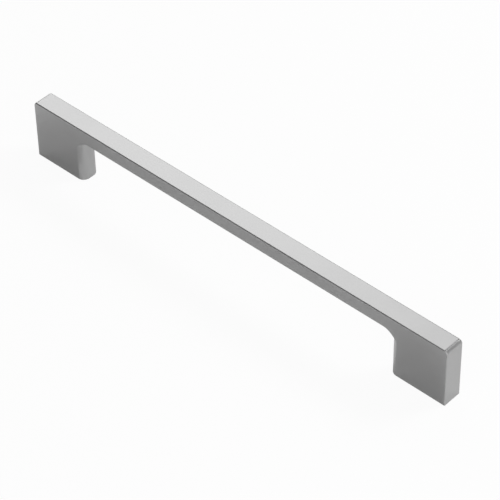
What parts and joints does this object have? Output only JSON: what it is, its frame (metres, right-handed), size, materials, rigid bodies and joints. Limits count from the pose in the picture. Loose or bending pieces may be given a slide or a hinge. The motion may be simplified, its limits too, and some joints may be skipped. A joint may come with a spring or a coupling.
{
  "type": "cabinet handle",
  "caption": "Flat square-edged bar pull for a drawer or cabinet door, standing on a solid foot at each end, with a tapped hole in each foot for a screw from behind.",
  "frame": {"origin": "on the cabinet face, midway between the two screw holes, at the middle of the bar's width", "axes": "+X along the bar, +Z straight out from the cabinet face, +Y across the bar's width"},
  "size_m": [0.219, 0.009, 0.0284],
  "materials": {
    "satin_metal": "satin"
  },
  "bodies": {
    "root": {"handle": "satin_metal"}
  },
  "joints": []
}
